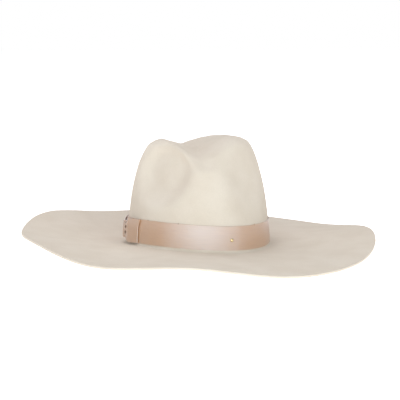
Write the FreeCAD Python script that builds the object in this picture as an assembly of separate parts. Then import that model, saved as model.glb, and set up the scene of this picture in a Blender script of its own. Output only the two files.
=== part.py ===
import FreeCAD, Part
import math
import os

# A wide-brimmed hat of cream wool felt: centre crease, pinched front, ribbon band with a side bow.
# Millimetres. +Z is up, -Y the wearer's front, +X the wearer's left. The origin is the centre of the
# head opening, level with the bend where the crown turns out into the brim.

Vector = FreeCAD.Vector

# Felt
felt_thickness = 2.6
oval_half_width = 86.0          # outer face of the felt just above the bend
oval_half_length = 102.5
oval_back_flare = 0.02          # a head is widest a little behind its middle
bend_radius = 3.5
brim_half_width = 213.5
brim_half_length = 227.0
brim_curl = 1.7                 # how late the brim leaves its flat start
edge_rounding = 0.5
bend_row_heights = (4.7, 3.7, 2.6, 1.4, 0.55)
brim_near_rows = (0.0, 2.5, 6.5)    # first rows of the brim, out from the bend
brim_far_rows = 13

# Outline of the crown before it is creased: share of the oval, height
open_crown = [
    (0.0, 130.3), (0.20, 130.0), (0.40, 128.5), (0.57, 125.9), (0.64, 123.3), (0.70, 119.8),
    (0.764, 110.9), (0.825, 97.7), (0.877, 82.2), (0.920, 66.2), (0.954, 49.2), (0.978, 32.2),
    (0.994, 15.7), (1.0, 6.0),
]

# Height of the brim's edge and of the bend round the hat: turns per lap, cosine part, sine part
edge_wave = [
    (0, 6.4, 0.0), (1, -7.8, 3.1), (2, 4.7, -0.6), (3, 2.9, 1.6), (4, 3.0, -1.0), (5, 1.6, -0.9),
    (6, -1.0, 0.8), (7, 1.5, 0.0),
]
bend_wave = [(0, -1.6, 0.0), (1, -0.8, -3.6), (2, 0.0, 2.3)]
bend_wave_full = 30.0           # the wall follows the bend's wave up to this height
bend_wave_gone = 70.0

# Centre crease, from the front lip to the back of the crown
crease_front_y = -100.0
crease_back_y = 92.0
crease_front_x = 2.0
crease_back_x = -21.0
crease_depths = [(0.05, 16.5), (0.5, 21.0), (1.0, 1.5)]
crease_half_widths = [(0.0, 44.0), (0.45, 36.0), (1.0, 19.0)]
crease_floor = 3.0              # half width of its rounded floor
crease_sharpness = 1.3
crease_sharp_share = 0.5        # the rest of the groove is a soft wave
crease_leftward_extra = 0.2     # the wall towards the wearer's left is this much wider
crease_leftward_reach = 20.0
top_starts = 88.0               # below this height the wall is untouched by the crease
top_blend = 34.0
top_side_tilt = 0.026
top_back_drop = 5.3
top_drop_starts = -25.0
top_drop_length = 95.0

# Front pinches: centre x, y, height, half length, half height, depth, crispness, direction in degrees
pinches = [
    (-54.0, -63.0, 90.0, 38.0, 34.0, 16.5, 4.8, 42.0),
    (51.0, -67.0, 90.0, 32.0, 36.0, 9.0, 2.4, 46.0),
]
pinch_reach = 10.0
pinch_fade = 30.0

# Hatband and bow, all of one grosgrain ribbon
ribbon_width = 28.0
ribbon_thickness = 0.5
ribbon_foot = 3.2               # lower edge above the bend
ribbon_gap = 0.25
ply_gap = 0.1                   # between layers of ribbon
bow_forward = 7.0               # middle of the bow, in front of the wearer's right side
bow_half_length = 42.0
loop_settled = 0.75             # share of a loop's length past the keeper where it lies closest
bow_pinch_swell = 1.9           # hollow between the plies in the keeper
bow_fold_swell = 0.9            # and at the folded ends
bow_pinch_width = 16.0          # the ribbon is gathered to this height in the keeper
bow_slant = 4.0                 # the loops' top corners reach further than their middle
# each loop's share of its length over which it opens, its bulge, and how far it sinks to the band
bow_front_loop = (0.4, 2.0, 1.4)
bow_rear_loop = (0.75, 0.6, 0.75)
keeper_length = 14.0
keeper_room = 0.35
keeper_side_room = 1.2
keeper_squareness = 0.3
tail_front_length = 12.0
tail_rear_length = 56.0
tail_slant = 11.0

# Stud on the band
stud_angle = math.radians(-69.0)
stud_height = 15.0
stud_head_radius = 2.0
stud_head_height = 1.1
stud_rim_share = 0.35           # height of the head's straight rim
stud_post_radius = 0.5
stud_hole_radius = 0.56
stud_washer_radius = 2.6
stud_washer_thickness = 0.4
stud_washer_gap = 0.12

# Sweatband, its reed and reed tape: distances inwards from the felt's outer face
sweatband_outside = 3.75
sweatband_thickness = 0.9
sweatband_foot = 0.6
sweatband_top = 36.0
reed_inwards = 4.2
reed_height = -0.25
reed_radius = 0.7
tape_radius = 1.15              # outside of the fold round the reed
tape_thickness = 0.3
tape_outer_top = 7.0
tape_inner_top = 4.0
seam_stitches = 120
seam_height = 2.5
stitch_length = 3.0
stitch_radius = 0.22

# Trim on the sweatband at the back, and the blank size tab
trim_gap = 0.25
joint_cover_width = 11.0
joint_cover_thickness = 0.4
joint_cover_foot = 5.0
rear_bow_half_length = 9.0
rear_bow_held = 1.0             # half the length gathered in the middle
rear_bow_height = 22.0
rear_bow_width = 6.0
rear_bow_pinch_width = 3.4
rear_bow_hollow = 0.8
rear_bow_loop = (0.4, 1.0, 0.0)
rear_bow_thickness = 0.3
size_tab_angle = math.radians(20.0)
size_tab_width = 18.0
size_tab_foot = 12.0
size_tab_top = 24.0
size_tab_thickness = 0.35

# Lining
lining_outside = 3.3
lining_thickness = 0.35
lining_foot = 22.0
lining_tip_share = 0.57
lining_seam_gap = 0.01
piping_radius = 0.8

# Tacks that hold the ribbon: angles round the hat
tack_angles = [math.radians(angle) for angle in (-140, -112, -45, -10, 30, 62, 100, 135)]
tack_gap = 0.15
tack_length = 2.6

cap_share = 0.02                # half size of the flat disc that closes the crown's middle
columns = 96
column_crowding = 0.45          # columns stand closer together at the pinched front
patch_spans = 16                # a smooth face is cut into patches of this many columns and rows
sewing_gap = 0.001
sheet_steps = 8
loop_rows = 6
loop_columns = 48
fold_columns = 8
ribbon_rows = 6
keeper_rows = 4
sweatband_rows = 7
tape_outer_rows = 4
tape_inner_rows = 3
tape_fold_rows = 6
ring_sides = 8
dome_steps = 8
angle_step = 0.01               # to either side, when a direction round the hat is measured


def smooth(t):
    t = max(0.0, min(1.0, t))
    return t * t * (3 - 2 * t)


def ease(t, stops):
    value = stops[0][1]
    for (start, low), (end, high) in zip(stops, stops[1:]):
        value += (high - low) * smooth((t - start) / (end - start))
    return value


def wave(angle, terms):
    return sum(c * math.cos(n * angle) + s * math.sin(n * angle) for n, c, s in terms)


def through(points, steps):
    """Points of a Catmull-Rom curve through the given ones."""
    found = []
    last = len(points) - 1
    for i in range(last):
        a, b, c, d = (points[max(i - 1, 0)], points[i], points[i + 1], points[min(i + 2, last)])
        for step in range(steps):
            t = step / steps
            found.append(tuple(
                0.5 * (2 * q + (r - p) * t + (2 * p - 5 * q + 4 * r - s) * t * t
                       + (3 * q - p - 3 * r + s) * t ** 3)
                for p, q, r, s in zip(a, b, c, d)))
    found.append(points[-1])
    return found


open_crown_curve = through(open_crown, 4)
column_turns = [2 * math.pi * i / columns for i in range(columns)]
column_angles = [turn - column_crowding * math.cos(turn) for turn in column_turns]


def spread(low, high, steps):
    return [low + (high - low) * i / steps for i in range(steps + 1)]


def oval(angle, share=1.0):
    x = share * oval_half_width * math.cos(angle) * (1 + oval_back_flare * math.sin(angle))
    return x, share * oval_half_length * math.sin(angle)


def crown_point(angle, share, height):
    x, y = oval(angle, share)
    top = smooth((height - top_starts) / top_blend)
    along = (y - crease_front_y) / (crease_back_y - crease_front_y)
    middle = crease_front_x + (crease_back_x - crease_front_x) * along
    wide = 1 + crease_leftward_extra * smooth((x - middle) / crease_leftward_reach)
    half_width = ease(along, crease_half_widths) * wide
    off_middle = min(1.0, math.hypot(x - middle, crease_floor) / half_width)
    sharp = (1 - off_middle) ** crease_sharpness
    groove = crease_sharp_share * sharp + (1 - crease_sharp_share) * (1 - smooth(off_middle))
    drop = top_back_drop * smooth((y - top_drop_starts) / top_drop_length)
    lift = top_side_tilt * x - drop - ease(along, crease_depths) * groove
    push_x = 0.0
    push_y = 0.0
    for pinch_x, pinch_y, pinch_z, half_length, half_height, depth, crispness, turn in pinches:
        side = math.copysign(1, pinch_x)
        inward = (-side * math.sin(math.radians(turn)), math.cos(math.radians(turn)))
        across = (x - pinch_x) * inward[1] - (y - pinch_y) * inward[0]
        into = (x - pinch_x) * inward[0] + (y - pinch_y) * inward[1]
        reach = math.hypot(across / half_length, (height - pinch_z) / half_height)
        share_pushed = math.exp(-reach ** crispness - (max(into - pinch_reach, 0) / pinch_fade) ** 2)
        push_x += depth * share_pushed * inward[0]
        push_y += depth * share_pushed * inward[1]
    bend_share = smooth((bend_wave_gone - height) / (bend_wave_gone - bend_wave_full))
    return Vector(x + push_x, y + push_y, height + top * lift + wave(angle, bend_wave) * bend_share)


def brim_point(angle, out):
    """A point on the brim's top, so far out from the crown at the hat's side."""
    start_x, start_y = oval(angle)
    share = out / (brim_half_width - oval_half_width)
    x = start_x + (brim_half_width * math.cos(angle) - start_x) * share
    y = start_y + (brim_half_length * math.sin(angle) - start_y) * share
    height = wave(angle, edge_wave) * share ** brim_curl + wave(angle, bend_wave) * (1 - smooth(share))
    return Vector(x, y, height)


def wall_share(height):
    for (high_share, high), (low_share, low) in zip(open_crown_curve, open_crown_curve[1:]):
        if low <= height <= high:
            return low_share + (high_share - low_share) * (height - low) / (high - low)
    return 1.0


def wall_point(angle, height):
    """The crown's wall by height, with the bend's fillet at its foot."""
    point = crown_point(angle, wall_share(height), height)
    if height < bend_radius:
        flare = bend_radius - math.sqrt(bend_radius ** 2 - (bend_radius - height) ** 2)
        point += outward(angle) * flare
    return point


def wall_normal(angle, height):
    round_way = wall_point(angle + angle_step, height) - wall_point(angle - angle_step, height)
    upwards = wall_point(angle, height + 1) - wall_point(angle, height - 1)
    return round_way.cross(upwards).normalize()


def inner_point(angle, height, inwards):
    """A point so far inwards from the felt's outer face."""
    return crown_point(angle, wall_share(height), height) - outward(angle) * inwards


def outward(angle):
    """The level direction straight out of the oval."""
    x, y = oval(angle)
    direction = Vector(x / oval_half_width ** 2, y / oval_half_length ** 2, 0)
    return direction.normalize()


def ring_row(point_at, *place):
    return [point_at(angle, *place) for angle in column_angles]


def skin_rows():
    """Rows of the felt's outer face, from the middle of the crown to the brim's edge."""
    crown = [ring_row(crown_point, max(share, cap_share), height)
             for share, height in open_crown_curve]
    foot = [ring_row(wall_point, height) for height in bend_row_heights]
    reach = brim_half_width - oval_half_width
    near = [bend_radius + out for out in brim_near_rows]
    outs = near[:-1] + spread(near[-1], reach, brim_far_rows)
    outs.insert(-1, reach - 2 * edge_rounding)
    return crown + foot + [ring_row(brim_point, out) for out in outs]


def row_normals(rows):
    """Outward normals at every point of a net whose rows run from the middle of the crown outwards."""
    found = []
    for j in range(len(rows)):
        above = rows[max(j - 1, 0)]
        below = rows[min(j + 1, len(rows) - 1)]
        line = []
        for i in range(columns):
            round_way = rows[j][(i + 1) % columns] - rows[j][i - 1]
            down_way = below[i] - above[i]
            line.append(down_way.cross(round_way).normalize())
        found.append(line)
    return found


def inside_rows(rows, depth):
    """The rows moved in through the felt by a depth."""
    return [[point - normal * depth for point, normal in zip(row, normals)]
            for row, normals in zip(rows, row_normals(rows))]


def net_faces(rows, closed_rows=False):
    """A smooth surface over rows of points that each run once round, cut into patches.

    Two rows give straight lines from one to the other. closed_rows joins the last row to the
    first, as in a ring-shaped tube."""
    cubic = 3
    down = min(cubic, len(rows) - 1)
    knots_round = list(range(len(rows[0]) + 1))
    if closed_rows:
        knots_down = list(range(len(rows) + 1))
        counts_down = [1] * len(knots_down)
    else:
        knots_down = list(range(len(rows) - down + 1))
        counts_down = [down + 1] + [1] * (len(knots_down) - 2) + [down + 1]
    surface = Part.BSplineSurface()
    surface.buildFromPolesMultsKnots(
        rows, counts_down, [1] * len(knots_round), knots_down, knots_round,
        closed_rows, True, down, cubic)
    faces = []
    cuts_down = cuts(0, knots_down[-1])
    cuts_round = cuts(0, knots_round[-1])
    for low, high in zip(cuts_down, cuts_down[1:]):
        for left, right in zip(cuts_round, cuts_round[1:]):
            patch = surface.copy()
            patch.segment(low, high, left, right)
            faces.append(patch.toShape())
    return faces


def cuts(first, last):
    """Whole numbers from first to last, at most a patch apart and at least three spans."""
    spans = max(3 if last - first > 2 else 1, math.ceil((last - first) / patch_spans))
    return [first + round((last - first) * i / spans) for i in range(spans + 1)]


def row_edges(row):
    """The closed smooth line along one row of a net, cut like its patches."""
    line = Part.BSplineCurve()
    line.buildFromPolesMultsKnots(
        row, [1] * (len(row) + 1), list(range(len(row) + 1)), True, 3)
    places = cuts(0, len(row))
    return [line.toShape(low, high) for low, high in zip(places, places[1:])]


def flattened(row):
    """The same row moved onto the plane that fits it."""
    middle = sum(row, Vector()) * (1 / len(row))
    normal = sum(((a - middle).cross(b - middle) for a, b in zip(row, row[1:])), Vector()).normalize()
    return [point - normal * normal.dot(point - middle) for point in row]


def capped_solid(rows):
    """A solid from a net of rings, closed with a flat disc on its first and last one."""
    first = flattened(rows[0])
    last = flattened(rows[-1])
    discs = [Part.Face(Part.Wire(row_edges(row))) for row in (first, last)]
    return sewn(net_faces([first] + rows[1:-1] + [last]) + discs)


def tube_solid(rows):
    """A solid ring from a net that closes on itself both ways."""
    return sewn(net_faces(rows, closed_rows=True))


def band_solid(outer_rows, inner_rows):
    """A ring-shaped strip: smooth outer and inner faces, with straight edges between their end rows."""
    faces = net_faces(outer_rows) + net_faces(inner_rows)
    for end in (0, -1):
        faces += net_faces([outer_rows[end], inner_rows[end]])
    return sewn(faces)


def sheet_solid(place, lengths, heights, outs):
    """A thin curved strip. place(length, height, out) gives its points, and outs its two faces.

    lengths is a function of the height's share from foot to top, so that ends can slant."""
    low, high = heights
    sides = []
    for out in outs:
        grid = []
        for i in range(sheet_steps + 1):
            share = i / sheet_steps
            height = low + (high - low) * share
            start, end = lengths(share)
            grid.append([place(start + (end - start) * j / (2 * sheet_steps), height, out)
                         for j in range(2 * sheet_steps + 1)])
        surface = Part.BSplineSurface()
        surface.interpolate(grid)
        sides.append(surface)
    first, last, start, end = sides[0].bounds()
    faces = [side.toShape() for side in sides]
    for cut in ("uIso", "vIso"):
        for bound in ((first, last) if cut == "uIso" else (start, end)):
            edges = [getattr(side, cut)(bound).toShape() for side in sides]
            faces.append(Part.makeRuledSurface(edges[0], edges[1]))
    return sewn(faces)


def turned_solid(outline, origin, axis):
    """A solid turned from an outline of (radius, distance along the axis) points."""
    points = [Vector(radius, 0, along) for radius, along in outline]
    face = Part.Face(Part.makePolygon(points + points[:1]))
    solid = face.revolve(Vector(), Vector(0, 0, 1), 360)
    return placed(solid, origin, axis)


def placed(shape, origin, axis):
    """The shape moved so that its Z axis starts at the origin and runs along the axis."""
    moved = shape.copy()
    moved.Placement = FreeCAD.Placement(origin, FreeCAD.Rotation(Vector(0, 0, 1), axis))
    return moved


def stitch(middle, along, length):
    """One stitch of round thread with rounded ends, lying along a direction."""
    half = length / 2 - stitch_radius
    ends = [Vector(0, 0, -half - stitch_radius), Vector(0, 0, half + stitch_radius)]
    corner_low = Vector(stitch_radius, 0, -half)
    corner_high = Vector(stitch_radius, 0, half)
    bulge = stitch_radius * math.sqrt(0.5)
    edges = [
        Part.Arc(ends[0], Vector(bulge, 0, -half - bulge), corner_low).toShape(),
        Part.LineSegment(corner_low, corner_high).toShape(),
        Part.Arc(corner_high, Vector(bulge, 0, half + bulge), ends[1]).toShape(),
        Part.LineSegment(ends[1], ends[0]).toShape(),
    ]
    solid = Part.Face(Part.Wire(edges)).revolve(Vector(), Vector(0, 0, 1), 360)
    return placed(solid, middle, along)


def sewn(faces):
    skin = Part.Compound(faces)
    skin.sewShape(sewing_gap)
    solid = Part.Solid(skin.Shells[0])
    if solid.Volume < 0:
        solid.reverse()
    return solid


skin = skin_rows()
stud_axis = wall_normal(stud_angle, stud_height)
stud_foot = wall_point(stud_angle, stud_height)


def stud_hole():
    return Part.makeCylinder(
        stud_hole_radius, 4 * felt_thickness, stud_foot - stud_axis * 2 * felt_thickness, stud_axis)


def felt_body():
    """Crown and brim: one piece of felt, pressed over a block and cut raw at the edge."""
    return capped_solid(skin + inside_rows(skin, felt_thickness)[::-1]).cut(stud_hole())


def hatband_ribbon():
    heights = spread(ribbon_foot, ribbon_foot + ribbon_width, ribbon_rows)
    outer = [ring_row(ribbon_point, height, ribbon_thickness) for height in heights]
    inner = [ring_row(ribbon_point, height, 0) for height in heights]
    return band_solid(outer, inner).cut(stud_hole())


def ribbon_point(angle, height, out):
    return wall_point(angle, height) + outward(angle) * (ribbon_gap + out)


def side_point(forward, height, out):
    """A point on the wearer's right, so far forward from the bow's middle and out from the hatband."""
    angle = math.pi + math.asin((bow_forward + forward) / oval_half_length)
    return ribbon_point(angle, height, ribbon_thickness + out)


def loop_path(reach, fold_radius):
    """Once round a flat loop: place along it, side of it from -1 to 1, and the way out there."""
    straight = reach - fold_radius
    front = []
    for i in range(fold_columns + 1):
        turn = math.pi * (i / fold_columns - 0.5)
        front.append((straight + fold_radius * math.cos(turn), math.sin(turn), math.cos(turn), math.sin(turn)))
    steps = loop_columns // 2 - fold_columns
    for i in range(1, steps):
        front.append((straight * (1 - 2 * i / steps), 1, 0, 1))
    return front + [(-along, -side, -off, -up) for along, side, off, up in front]


def loops_solid(place, height, sizes, loops, out, thickness, slant):
    """A ribbon folded into a flat loop to each side of its gathered middle."""
    half_length, held, width, pinch_width, pinch_swell, fold_swell = sizes
    outer = []
    inner = []
    for level in spread(-1, 1, loop_rows):
        reach = half_length + slant * max(level, 0) ** 2
        path = loop_path(reach, (fold_swell + thickness) / 2)
        for rows, offset in ((outer, thickness / 2), (inner, -thickness / 2)):
            row = []
            for along, side, off, up in path:
                opening, bulge, settling = loops[0] if along > 0 else loops[1]
                past = (abs(along) - held) / half_length
                open_share = smooth(past / opening)
                settled = smooth(past / loop_settled)
                full_share = math.sin(math.pi * min(abs(along) / half_length, 1)) * open_share
                hollow = pinch_swell + (fold_swell - pinch_swell) * settled + bulge * full_share
                tall = pinch_width + (width - pinch_width) * open_share
                ply = out - settling * settled + thickness / 2 + (hollow + thickness) * (1 + side) / 2
                row.append(place(along + offset * off, height + level * tall / 2, ply + offset * up))
            rows.append(row)
    return band_solid(outer, inner)


def keeper_solid(place, height, out, depth, width, length, thickness):
    """A short ribbon wrapped round the gathered middle of a bow."""
    outer = []
    inner = []
    for along in spread(-length / 2, length / 2, keeper_rows):
        for rows, offset in ((outer, thickness), (inner, 0)):
            row = []
            for j in range(loop_columns):
                turn = 2 * math.pi * j / loop_columns
                up = math.copysign(abs(math.sin(turn)) ** keeper_squareness, math.sin(turn))
                off = math.copysign(abs(math.cos(turn)) ** keeper_squareness, math.cos(turn))
                row.append(place(along, height + up * (width / 2 + offset),
                                 out + thickness + depth / 2 + off * (depth / 2 + offset)))
            rows.append(row)
    return band_solid(outer, inner)


bow_height = ribbon_foot + ribbon_width / 2
tail_out = ply_gap
keeper_out = tail_out + ribbon_thickness + ply_gap
loops_out = keeper_out + ribbon_thickness + keeper_room
loops_depth = 2 * ribbon_thickness + bow_pinch_swell


def bow_loops():
    sizes = (bow_half_length, keeper_length / 2, ribbon_width, bow_pinch_width, bow_pinch_swell,
             bow_fold_swell)
    return loops_solid(side_point, bow_height, sizes, (bow_front_loop, bow_rear_loop), loops_out,
                       ribbon_thickness, bow_slant)


def bow_keeper():
    return keeper_solid(side_point, bow_height, keeper_out, loops_depth + 2 * keeper_room,
                        bow_pinch_width + 2 * keeper_side_room, keeper_length, ribbon_thickness)


def bow_tail():
    """The strip under the bow, with its rear end cut at a slant."""
    def lengths(share):
        return -tail_rear_length + tail_slant * share, tail_front_length
    heights = (ribbon_foot, ribbon_foot + ribbon_width)
    return sheet_solid(side_point, lengths, heights, (tail_out, tail_out + ribbon_thickness))


def ribbon_tacks():
    """Hand stitches over the ribbon's upper edge into the felt."""
    height = ribbon_foot + ribbon_width
    solids = []
    for angle in tack_angles:
        middle = ribbon_point(angle, height, ribbon_thickness + stitch_radius + tack_gap)
        solids.append(stitch(middle, Vector(0, 0, 1), tack_length))
    return Part.Compound(solids)


def band_stud():
    """A domed head with a post through the ribbon and the felt."""
    radius = stud_head_radius
    dome = [(radius * math.cos(turn),
             stud_head_height * (stud_rim_share + (1 - stud_rim_share) * math.sin(turn)))
            for turn in spread(0, math.pi / 2, dome_steps)[:-1]]
    seat = ribbon_gap + ribbon_thickness + ply_gap
    length = seat + felt_thickness + stud_washer_thickness + 2 * stud_washer_gap
    outline = [(0, -length), (stud_post_radius, -length), (stud_post_radius, 0), (radius, 0)]
    outline += dome + [(0, stud_head_height)]
    return turned_solid(outline, stud_foot + stud_axis * seat, stud_axis)


def stud_washer():
    inside = stud_foot - stud_axis * (felt_thickness + stud_washer_gap + stud_washer_thickness)
    outline = [(stud_hole_radius, 0), (stud_washer_radius, 0), (stud_washer_radius, stud_washer_thickness),
               (stud_hole_radius, stud_washer_thickness)]
    return turned_solid(outline, inside, stud_axis)


def sweatband():
    heights = spread(sweatband_foot, sweatband_top, sweatband_rows)
    outer = [ring_row(inner_point, height, sweatband_outside) for height in heights]
    inner = [ring_row(inner_point, height, sweatband_outside + sweatband_thickness) for height in heights]
    return band_solid(outer, inner)


def sweatband_reed():
    return tube_solid([ring_row(inner_point, reed_height + reed_radius * math.sin(turn),
                                reed_inwards + reed_radius * math.cos(turn))
                       for turn in spread(0, 2 * math.pi, ring_sides)[:-1]])


def reed_tape():
    """Tape folded round the reed, with one leg behind the leather and a shorter one in front."""
    faces = []
    for radius in (tape_radius, tape_radius - tape_thickness):
        path = [(height, -radius) for height in spread(tape_outer_top, reed_height, tape_outer_rows)[:-1]]
        for turn in spread(0, math.pi, tape_fold_rows):
            path.append((reed_height - radius * math.sin(turn), -radius * math.cos(turn)))
        path += [(height, radius) for height in spread(reed_height, tape_inner_top, tape_inner_rows)[1:]]
        faces.append([ring_row(inner_point, height, reed_inwards + aside) for height, aside in path])
    return band_solid(faces[0], faces[1])


def sweatband_stitching():
    """The seam that joins tape and leather, just above the reed."""
    inwards = reed_inwards + tape_radius + stitch_radius + trim_gap
    solids = []
    for angle in spread(0, 2 * math.pi, seam_stitches)[:-1]:
        ahead = inner_point(angle + angle_step, seam_height, inwards)
        behind = inner_point(angle - angle_step, seam_height, inwards)
        solids.append(stitch(inner_point(angle, seam_height, inwards), ahead - behind, stitch_length))
    return Part.Compound(solids)


trim_inwards = sweatband_outside + sweatband_thickness + trim_gap


def back_point(along, height, out):
    """A point on the sweatband's face at the back, counted in from the leather."""
    angle = math.pi / 2 - math.asin(along / oval_half_width)
    return inner_point(angle, height, trim_inwards + out)


def tab_point(along, height, out):
    return inner_point(size_tab_angle + along / oval_half_length, height, trim_inwards + out)


def sweatband_joint_cover():
    half = joint_cover_width / 2
    heights = (joint_cover_foot, sweatband_top)
    return sheet_solid(back_point, lambda share: (-half, half), heights, (0, joint_cover_thickness))


def sweatband_bow():
    sizes = (rear_bow_half_length, rear_bow_held, rear_bow_width, rear_bow_pinch_width,
             rear_bow_hollow, rear_bow_hollow)
    out = joint_cover_thickness + ply_gap
    return loops_solid(back_point, rear_bow_height, sizes, (rear_bow_loop, rear_bow_loop), out,
                       rear_bow_thickness, 0)


def size_tab():
    half = size_tab_width / 2
    return sheet_solid(tab_point, lambda share: (-half, half), (size_tab_foot, size_tab_top),
                       (0, size_tab_thickness))


def lining_rows(depth, low_share, high_share):
    """Rows of the felt's net moved in to a depth, between two shares of the oval."""
    rows = inside_rows(skin, depth)
    return [rows[i] for i, (share, height) in enumerate(open_crown_curve)
            if low_share <= share <= high_share and height > lining_foot]


def lining_side():
    """The lining's wall, from behind the sweatband to its seam with the tip."""
    outer = lining_rows(lining_outside, lining_tip_share + lining_seam_gap, 1)
    inner = lining_rows(lining_outside + lining_thickness, lining_tip_share + lining_seam_gap, 1)
    return band_solid(outer, inner)


def lining_tip():
    """The oval top of the lining."""
    outer = lining_rows(lining_outside, 0, lining_tip_share - lining_seam_gap)
    inner = lining_rows(lining_outside + lining_thickness, 0, lining_tip_share - lining_seam_gap)
    return capped_solid(outer + inner[::-1])


def lining_piping():
    """Covered cord sewn into the seam round the tip."""
    depth = lining_outside + lining_thickness + piping_radius + ply_gap
    shares = [abs(share - lining_tip_share) for share, height in open_crown_curve]
    seam_index = shares.index(min(shares))
    seam = inside_rows(skin, depth)[seam_index]
    normals = row_normals(skin)[seam_index]
    ring = []
    for turn in spread(0, 2 * math.pi, ring_sides)[:-1]:
        ring.append([middle + normal * (piping_radius * math.sin(turn))
                     + outward(angle) * (piping_radius * math.cos(turn))
                     for middle, normal, angle in zip(seam, normals, column_angles)])
    return tube_solid(ring)


nodes = [
    felt_body, hatband_ribbon, bow_loops, bow_keeper, bow_tail, ribbon_tacks, band_stud, stud_washer,
    sweatband, sweatband_reed, reed_tape, sweatband_stitching, sweatband_joint_cover, sweatband_bow,
    size_tab, lining_side, lining_tip, lining_piping,
]

os.makedirs("parts", exist_ok=True)
for node in nodes:
    shape = node()
    shape.exportStep("parts/" + node.__name__ + ".step")
    print(node.__name__, shape.isValid(), round(shape.Volume / 1000, 3), "cc")
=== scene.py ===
import math
import bpy
import numpy as np
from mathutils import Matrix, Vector


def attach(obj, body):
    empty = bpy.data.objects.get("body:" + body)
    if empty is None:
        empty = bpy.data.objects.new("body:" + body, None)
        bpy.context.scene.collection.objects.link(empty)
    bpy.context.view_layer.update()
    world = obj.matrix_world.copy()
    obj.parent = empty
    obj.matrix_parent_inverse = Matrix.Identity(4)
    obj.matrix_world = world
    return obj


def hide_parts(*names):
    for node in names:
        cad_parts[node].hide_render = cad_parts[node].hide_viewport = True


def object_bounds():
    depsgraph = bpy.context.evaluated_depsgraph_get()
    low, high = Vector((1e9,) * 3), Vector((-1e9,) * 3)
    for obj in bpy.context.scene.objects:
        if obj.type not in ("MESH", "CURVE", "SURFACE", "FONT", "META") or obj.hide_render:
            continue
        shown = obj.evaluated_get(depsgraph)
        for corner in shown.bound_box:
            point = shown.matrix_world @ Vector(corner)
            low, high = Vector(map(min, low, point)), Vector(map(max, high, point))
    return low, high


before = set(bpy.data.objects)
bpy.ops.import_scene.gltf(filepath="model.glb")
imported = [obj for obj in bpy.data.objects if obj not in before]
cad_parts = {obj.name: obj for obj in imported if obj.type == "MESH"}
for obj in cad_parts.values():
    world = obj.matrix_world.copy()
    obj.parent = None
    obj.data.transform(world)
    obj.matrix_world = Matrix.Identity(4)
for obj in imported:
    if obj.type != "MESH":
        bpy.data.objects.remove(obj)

# A wide-brimmed fedora of cream wool felt with a tan ribbon band. Shapes are worked out in
# millimetres and leave as metres. +Z is up, -Y the wearer's front, -X the side with the bow.

cadBox = [list(corner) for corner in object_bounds()]
dice = np.random.default_rng(7)
fullTurn = 2 * math.pi


# shape of the felt, shared by everything that lies on it
felt = {
    "thickness": 2.6,
    "halfWidth": 86.0,
    "halfLength": 102.5,
    "backFlare": 0.02,           # the oval is this much wider towards the back
    "bendRadius": 3.5,
    "bendFades": (70.0, 40.0),   # height at which the bend's wave is gone, and the length of its fade
    "brimHalfWidth": 213.5,
    "brimHalfLength": 227.0,
    "brimCurl": 1.7,
    "edgeRounding": 0.8,
    "edgeNick": 0.12,
    "edgeNickLengths": (3, 9),
    "unevenness": 0.08,          # hand blocking leaves the surface this far from perfect
    "unevenLengths": (28, 70),
    "columns": 384,
    "columnCrowding": 0.45,      # columns crowd towards the pinched front
    "rowSpacing": 1.8,
    "brimRowSpacing": 2.6,
    "wallRows": (5.2, 4.5, 3.9),           # heights just above the bend
    "bendRows": (0, 18, 36, 54, 70),       # degrees round it
    "brimStarts": 1.2,                     # mm past it
    "topHole": 0.012,                      # share of the oval that one fan of faces closes
    # share of the head oval and height, from the middle of the open crown down to the band
    "openCrown": [
        (0.0, 130.3), (0.20, 130.0), (0.40, 128.5), (0.57, 125.9), (0.64, 123.3), (0.70, 119.8),
        (0.764, 110.9), (0.825, 97.7), (0.877, 82.2), (0.920, 66.2), (0.954, 49.2), (0.978, 32.2),
        (0.994, 15.7), (1.0, 6.0)],
    # height of the brim's edge and of the bend: turns per lap, cosine part, sine part
    "edgeWave": [
        (0, 6.4, 0.0), (1, -7.8, 3.1), (2, 4.7, -0.6), (3, 2.9, 1.6), (4, 3.0, -1.0), (5, 1.6, -0.9),
        (6, -1.0, 0.8), (7, 1.5, 0.0)],
    "bendWave": [(0, -1.6, 0.0), (1, -0.8, -3.6), (2, 0.0, 2.3)],
}
crease = {
    "frontY": -100.0,
    "backY": 92.0,
    "frontX": 2.0,
    "backX": -21.0,
    "depths": [(0.05, 16.5), (0.5, 21.0), (1.0, 1.5)],
    "halfWidths": [(0.0, 44.0), (0.45, 36.0), (1.0, 19.0)],
    "floor": 3.0,
    "sharpness": 1.3,
    "sharpShare": 0.5,           # the rest of the groove is a soft wave
    "leftwardExtra": 0.2,        # the wall towards the wearer's left is this much wider
    "leftwardReach": 20.0,
    "topStarts": 88.0,
    "topBlend": 34.0,
    "sideTilt": 0.026,
    "backDrop": 5.3,
    "backDropStarts": -25.0,
    "backDropLength": 95.0,
}
# centre x, y, height, half length, half height, depth, crispness, direction in degrees
pinches = [
    (-54.0, -63.0, 90.0, 38.0, 34.0, 16.5, 4.8, 42.0),
    (51.0, -67.0, 90.0, 32.0, 36.0, 9.0, 2.4, 46.0)]
pinchFade = (10.0, 30.0)         # a pinch fades from this far behind its middle, over this length


def smoothStep(t):
    t = np.clip(t, 0, 1)
    return t * t * (3 - 2 * t)


def easeThrough(t, stops):
    value = stops[0][1]
    for (start, low), (end, high) in zip(stops, stops[1:]):
        value = value + (high - low) * smoothStep((t - start) / (end - start))
    return value


def waveAt(angle, terms):
    return sum(c * np.cos(n * angle) + s * np.sin(n * angle) for n, c, s in terms)


def throughPoints(points, steps):
    # a Catmull-Rom curve through the points
    p = np.array([points[0], *points, points[-1]])
    t = (np.arange(steps) / steps)[:, None]
    runs = [
        0.5 * (2 * q + (r - o) * t + (2 * o - 5 * q + 4 * r - s) * t ** 2
               + (3 * q - o - 3 * r + s) * t ** 3)
        for o, q, r, s in zip(p, p[1:], p[2:], p[3:])]
    return np.concatenate([*runs, p[-1:]])


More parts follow.
